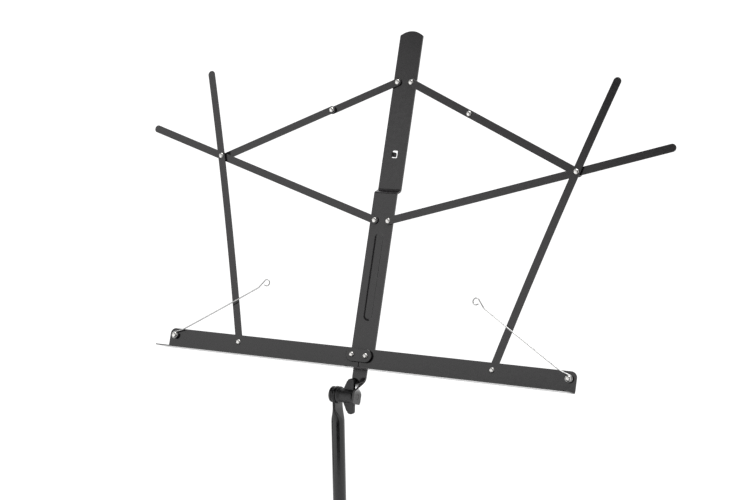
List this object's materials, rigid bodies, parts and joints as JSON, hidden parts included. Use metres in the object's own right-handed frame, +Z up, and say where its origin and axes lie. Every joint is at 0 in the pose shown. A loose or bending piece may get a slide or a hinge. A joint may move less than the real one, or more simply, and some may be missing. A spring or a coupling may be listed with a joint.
{
  "type": "music stand",
  "caption": "Folding music stand: flat steel linkage desk with a two-part tray and page wires, tilting head, telescopic shaft and folding tripod.",
  "frame": {"origin": "on the floor, under the middle of the stand's bounding box at rest", "axes": "+Z up, +X to the right as seen by the musician, who stands on the -Y side"},
  "size_m": [0.5938, 0.391, 1.2309],
  "materials": {
    "black_paint": "satin powder coat",
    "tube_paint": "satin powder coat",
    "black_plastic": "fine moulded",
    "rubber_foot": "matt",
    "rivet_steel": "bright plated",
    "wire_steel": "bright drawn wire"
  },
  "bodies": {
    "shaft_base": {"outer_tube": "tube_paint", "lower_clutch": "black_plastic", "strut_hub": "black_plastic", "strut_pin_1": "rivet_steel", "strut_pin_2": "rivet_steel", "strut_pin_3": "rivet_steel"},
    "lower_clutch_screw": {"lower_clutch_screw": "black_plastic"},
    "middle_shaft": {"middle_tube": "tube_paint", "upper_clutch": "black_plastic"},
    "upper_clutch_screw": {"upper_clutch_screw": "black_plastic"},
    "inner_shaft": {"inner_tube": "tube_paint"},
    "desk_bar": {"centre_bar": "black_paint", "bracket_plate": "black_paint", "tilt_bolt": "black_paint", "tilt_washer": "black_plastic", "bracket_rivet_left": "rivet_steel", "bracket_rivet_right": "rivet_steel", "diagonal_rivet_left": "rivet_steel", "diagonal_rivet_right": "rivet_steel", "link_rivet_left": "rivet_steel", "link_rivet_right": "rivet_steel"},
    "tilt_knob": {"tilt_knob": "black_plastic"},
    "tray_left": {"tray_left": "black_paint", "upright_rivet_left": "rivet_steel", "wire_rivet_left": "rivet_steel"},
    "upright_left": {"upright_left": "black_paint", "star_rivet_front_left": "rivet_steel"},
    "diagonal_left": {"diagonal_left": "black_paint", "star_rivet_rear_left": "rivet_steel"},
    "inner_link_left": {"inner_link_left": "black_paint", "knee_rivet_rear_left": "rivet_steel"},
    "outer_link_left": {"outer_link_left": "black_paint", "knee_rivet_front_left": "rivet_steel"},
    "page_wire_left": {"page_wire_left": "wire_steel"},
    "tray_right": {"tray_right": "black_paint", "upright_rivet_right": "rivet_steel", "wire_rivet_right": "rivet_steel"},
    "upright_right": {"upright_right": "black_paint", "star_rivet_front_right": "rivet_steel"},
    "diagonal_right": {"diagonal_right": "black_paint", "star_rivet_rear_right": "rivet_steel"},
    "inner_link_right": {"inner_link_right": "black_paint", "knee_rivet_rear_right": "rivet_steel"},
    "outer_link_right": {"outer_link_right": "black_paint", "knee_rivet_front_right": "rivet_steel"},
    "page_wire_right": {"page_wire_right": "wire_steel"},
    "leg_collar": {"leg_collar": "black_plastic", "leg_pin_1": "rivet_steel", "leg_pin_2": "rivet_steel", "leg_pin_3": "rivet_steel"},
    "leg_collar_screw": {"leg_collar_screw": "black_plastic"},
    "leg_1": {"leg_1": "black_paint", "foot_1": "rubber_foot"},
    "strut_1": {"strut_1": "black_paint"},
    "leg_2": {"leg_2": "black_paint", "foot_2": "rubber_foot"},
    "strut_2": {"strut_2": "black_paint"},
    "leg_3": {"leg_3": "black_paint", "foot_3": "rubber_foot"},
    "strut_3": {"strut_3": "black_paint"}
  },
  "joints": [
    {"name": "middle_slide", "type": "slide", "parent": "shaft_base", "child": "middle_shaft", "axis": [0, 0, 1], "range_m": [-0.195, 0.1]},
    {"name": "inner_slide", "type": "slide", "parent": "middle_shaft", "child": "inner_shaft", "axis": [0, 0, 1], "range_m": [-0.145, 0.13]},
    {"name": "desk_tilt", "type": "hinge", "parent": "inner_shaft", "child": "desk_bar", "pos_m": [0, -0.06248, 0.87494], "axis": [-1, 0, 0], "range_deg": [-19, 70]},
    {"name": "tilt_knob_turn", "type": "hinge", "parent": "desk_bar", "child": "tilt_knob", "pos_m": [0, -0.06248, 0.87494], "axis": [1, 0, 0], "range_deg": [0, 100]},
    {"name": "tray_fold_left", "type": "hinge", "parent": "desk_bar", "child": "tray_left", "pos_m": [-0.0078, -0.0498, 0.91395], "axis": [0, 0.9432, -0.3322], "range_deg": [0, 90]},
    {"name": "diagonal_swing_left", "type": "hinge", "parent": "desk_bar", "child": "diagonal_left", "pos_m": [-0.0078, -0.0039, 1.0443], "axis": [0, 0.9432, -0.3322], "range_deg": [0, 73.21]},
    {"name": "upright_swing_left", "type": "hinge", "parent": "tray_left", "child": "upright_left", "pos_m": [-0.144, -0.0498, 0.91395], "axis": [0, 0.9432, -0.3322], "range_deg": [-73.41, 0]},
    {"name": "inner_link_swing_left", "type": "hinge", "parent": "desk_bar", "child": "inner_link_left", "pos_m": [-0.0078, 0.04463, 1.18211], "axis": [0, 0.9432, -0.3322], "range_deg": [-65.89, 0]},
    {"name": "outer_link_swing_left", "type": "hinge", "parent": "diagonal_left", "child": "outer_link_left", "pos_m": [-0.20271, 0.01565, 1.0998], "axis": [0, 0.9432, -0.3322], "range_deg": [0, 40.92]},
    {"name": "page_wire_swing_left", "type": "hinge", "parent": "tray_left", "child": "page_wire_left", "pos_m": [-0.2229, -0.0498, 0.91395], "axis": [0, 0.9432, -0.3322], "range_deg": [-120, 31.7]},
    {"name": "tray_fold_right", "type": "hinge", "parent": "desk_bar", "child": "tray_right", "pos_m": [0.0078, -0.0498, 0.91395], "axis": [0, -0.9432, 0.3322], "range_deg": [0, 90]},
    {"name": "diagonal_swing_right", "type": "hinge", "parent": "desk_bar", "child": "diagonal_right", "pos_m": [0.0078, -0.0039, 1.0443], "axis": [0, -0.9432, 0.3322], "range_deg": [0, 73.21]},
    {"name": "upright_swing_right", "type": "hinge", "parent": "tray_right", "child": "upright_right", "pos_m": [0.144, -0.0498, 0.91395], "axis": [0, -0.9432, 0.3322], "range_deg": [-73.41, 0]},
    {"name": "inner_link_swing_right", "type": "hinge", "parent": "desk_bar", "child": "inner_link_right", "pos_m": [0.0078, 0.04463, 1.18211], "axis": [0, -0.9432, 0.3322], "range_deg": [-65.89, 0]},
    {"name": "outer_link_swing_right", "type": "hinge", "parent": "diagonal_right", "child": "outer_link_right", "pos_m": [0.20271, 0.01565, 1.0998], "axis": [0, -0.9432, 0.3322], "range_deg": [0, 40.92]},
    {"name": "page_wire_swing_right", "type": "hinge", "parent": "tray_right", "child": "page_wire_right", "pos_m": [0.2229, -0.0498, 0.91395], "axis": [0, -0.9432, 0.3322], "range_deg": [-120, 31.7]},
    {"name": "collar_slide", "type": "slide", "parent": "shaft_base", "child": "leg_collar", "axis": [0, 0, 1], "range_m": [0, 0.06895]},
    {"name": "leg_swing_1", "type": "hinge", "parent": "leg_collar", "child": "leg_1", "pos_m": [-0.022, -0.04047, 0.25494], "axis": [-1, 0, 0], "range_deg": [0, 42.71]},
    {"name": "strut_swing_1", "type": "hinge", "parent": "shaft_base", "child": "strut_1", "pos_m": [-0.022, -0.04047, 0.0639], "axis": [1, 0, 0], "range_deg": [0, 42.71]},
    {"name": "leg_swing_2", "type": "hinge", "parent": "leg_collar", "child": "leg_2", "pos_m": [-0.04105, -0.07347, 0.25494], "axis": [0.5, -0.866, 0], "range_deg": [0, 42.71]},
    {"name": "strut_swing_2", "type": "hinge", "parent": "shaft_base", "child": "strut_2", "pos_m": [-0.04105, -0.07347, 0.0639], "axis": [-0.5, 0.866, 0], "range_deg": [0, 42.71]},
    {"name": "leg_swing_3", "type": "hinge", "parent": "leg_collar", "child": "leg_3", "pos_m": [-0.00295, -0.07347, 0.25494], "axis": [0.5, 0.866, 0], "range_deg": [0, 42.71]},
    {"name": "strut_swing_3", "type": "hinge", "parent": "shaft_base", "child": "strut_3", "pos_m": [-0.00295, -0.07347, 0.0639], "axis": [-0.5, -0.866, 0], "range_deg": [0, 42.71]},
    {"name": "lower_clutch_screw_turn", "type": "hinge", "parent": "shaft_base", "child": "lower_clutch_screw", "pos_m": [-0.022, -0.09248, 0.45494], "axis": [0, -1, 0], "range_deg": [0, 180]},
    {"name": "upper_clutch_screw_turn", "type": "hinge", "parent": "middle_shaft", "child": "upper_clutch_screw", "pos_m": [-0.022, -0.09248, 0.68695], "axis": [0, -1, 0], "range_deg": [0, 180]},
    {"name": "leg_collar_screw_turn", "type": "hinge", "parent": "leg_collar", "child": "leg_collar_screw", "pos_m": [-0.022, -0.09248, 0.25894], "axis": [0, -1, 0], "range_deg": [0, 180]}
  ],
  "couplings": [
    {"joint": "diagonal_swing_left", "follows": "tray_fold_left", "ratio": 0.81336},
    {"joint": "upright_swing_left", "follows": "tray_fold_left", "ratio": -0.81564},
    {"joint": "inner_link_swing_left", "follows": "tray_fold_left", "ratio": -0.73202},
    {"joint": "outer_link_swing_left", "follows": "tray_fold_left", "ratio": 0.45462},
    {"joint": "diagonal_swing_right", "follows": "tray_fold_right", "ratio": 0.81336},
    {"joint": "upright_swing_right", "follows": "tray_fold_right", "ratio": -0.81564},
    {"joint": "inner_link_swing_right", "follows": "tray_fold_right", "ratio": -0.73202},
    {"joint": "outer_link_swing_right", "follows": "tray_fold_right", "ratio": 0.45462},
    {"joint": "leg_swing_1", "follows": "collar_slide", "rad_per_m": 10.811},
    {"joint": "strut_swing_1", "follows": "collar_slide", "rad_per_m": 10.811},
    {"joint": "leg_swing_2", "follows": "collar_slide", "rad_per_m": 10.811},
    {"joint": "strut_swing_2", "follows": "collar_slide", "rad_per_m": 10.811},
    {"joint": "leg_swing_3", "follows": "collar_slide", "rad_per_m": 10.811},
    {"joint": "strut_swing_3", "follows": "collar_slide", "rad_per_m": 10.811}
  ]
}
